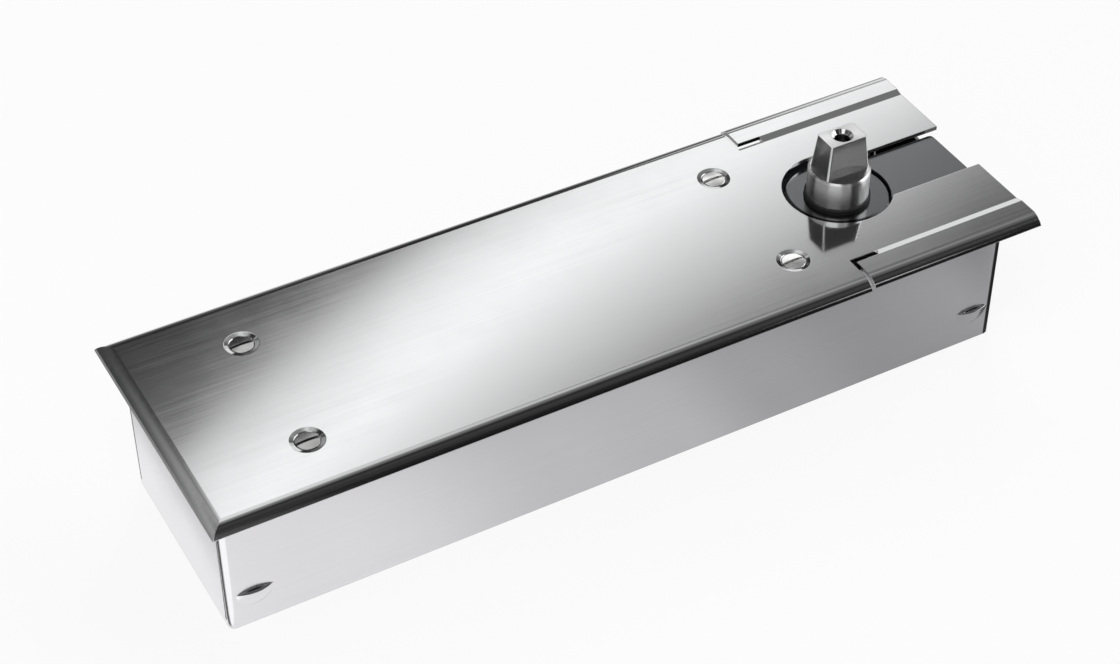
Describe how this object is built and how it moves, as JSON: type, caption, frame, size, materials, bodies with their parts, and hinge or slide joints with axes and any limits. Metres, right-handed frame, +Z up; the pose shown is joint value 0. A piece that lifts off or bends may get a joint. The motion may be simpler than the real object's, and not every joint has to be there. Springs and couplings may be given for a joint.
{
  "type": "floor spring door closer",
  "caption": "Floor-set door closer: slim covered tray with an oil-damped spring mechanism that turns a flat conical door spindle.",
  "frame": {"origin": "on the spindle axis, in the plane of the cement box's underside", "axes": "+X along the box to the slotted end of the cover by the spindle, +Z up along the spindle axis"},
  "size_m": [0.3, 0.096, 0.0763],
  "materials": {
    "stainless_cover": "satin",
    "stainless_box": "satin",
    "cast_body": "matt paint over casting skin",
    "turned_steel": "fine turned",
    "bearing_steel": "ground",
    "black_screw": "black oxide",
    "strip_steel": "satin",
    "spring_steel": "oiled",
    "bronze": "satin",
    "copper": "satin",
    "seal_rubber": "matt",
    "zinc_rail": "zinc plated"
  },
  "bodies": {
    "root": {"cement_box": "stainless_box", "rail_spindle_end": "zinc_rail", "rail_closed_end": "zinc_rail", "closer_housing": "cast_body", "housing_screws": "black_screw", "slot_strip": "strip_steel", "bearing_cap": "strip_steel", "spindle_seal": "seal_rubber", "main_spring": "spring_steel", "spring_seat": "turned_steel", "end_plug": "zinc_rail", "end_plug_seal": "seal_rubber", "top_bearing_ring": "bearing_steel", "thrust_washer_lower": "bearing_steel", "bottom_cap": "zinc_rail", "bottom_cap_seal": "seal_rubber", "bottom_bush": "bronze", "filler_plug": "zinc_rail", "filler_washer": "copper"},
    "cover": {"cover_plate": "stainless_cover", "cover_screws": "turned_steel"},
    "spindle": {"spindle_shaft": "turned_steel", "heart_cam": "bearing_steel", "cam_key": "turned_steel", "thrust_washer_upper": "bearing_steel"},
    "piston_group": {"piston": "turned_steel", "roller_pin": "bearing_steel", "check_ball_stop": "turned_steel"},
    "follower": {"cam_roller": "bearing_steel"},
    "ball": {"check_ball": "bearing_steel"},
    "top_roller_set": {"top_bearing_rollers": "bearing_steel"},
    "thrust_roller_set": {"thrust_rollers": "bearing_steel"},
    "closing_valve": {"closing_speed_valve": "bronze", "closing_valve_seal": "seal_rubber"},
    "latching_valve": {"latching_speed_valve": "bronze", "latching_valve_seal": "seal_rubber"},
    "preload_screw": {"spring_adjuster": "turned_steel", "adjuster_seal": "seal_rubber"}
  },
  "joints": [
    {"name": "spindle_turn", "type": "hinge", "parent": "root", "child": "spindle", "pos_m": [0, 0, 0.0255], "axis": [0, 0, 1], "range_deg": [0, 130], "stiffness_Nm_per_rad": 6},
    {"name": "piston_slide", "type": "slide", "parent": "root", "child": "piston_group", "axis": [-1, 0, 0], "range_m": [0, 0.0114], "deforming": ["main_spring"]},
    {"name": "follower_roll", "type": "hinge", "parent": "piston_group", "child": "follower", "pos_m": [-0.0205, 0, 0.0255], "axis": [0, 0, 1], "continuous": true},
    {"name": "check_ball_lift", "type": "slide", "parent": "piston_group", "child": "ball", "axis": [-1, 0, 0], "range_m": [0, 0.0009]},
    {"name": "top_rollers_roll", "type": "hinge", "parent": "root", "child": "top_roller_set", "pos_m": [0, 0, 0.041], "axis": [0, 0, 1], "range_deg": [0, 60]},
    {"name": "thrust_rollers_roll", "type": "hinge", "parent": "root", "child": "thrust_roller_set", "pos_m": [0, 0, 0.0123], "axis": [0, 0, 1], "range_deg": [0, 66]},
    {"name": "closing_valve_turn", "type": "hinge", "parent": "root", "child": "closing_valve", "pos_m": [-0.062, 0.024, 0.046], "axis": [0, 0, 1], "range_deg": [0, 540]},
    {"name": "latching_valve_turn", "type": "hinge", "parent": "root", "child": "latching_valve", "pos_m": [-0.09, 0.024, 0.046], "axis": [0, 0, 1], "range_deg": [0, 540]},
    {"name": "preload_turn", "type": "hinge", "parent": "root", "child": "preload_screw", "pos_m": [-0.236, 0, 0.0255], "axis": [1, 0, 0], "range_deg": [0, 1800]},
    {"name": "cover_lift", "type": "slide", "parent": "root", "child": "cover", "axis": [0, 0, 1], "range_m": [0, 0.06]}
  ],
  "couplings": [
    {"joint": "piston_slide", "follows": "spindle_turn", "m_per_rad": 0.005},
    {"joint": "top_rollers_roll", "follows": "spindle_turn", "ratio": 0.41929},
    {"joint": "thrust_rollers_roll", "follows": "spindle_turn", "ratio": 0.5}
  ]
}
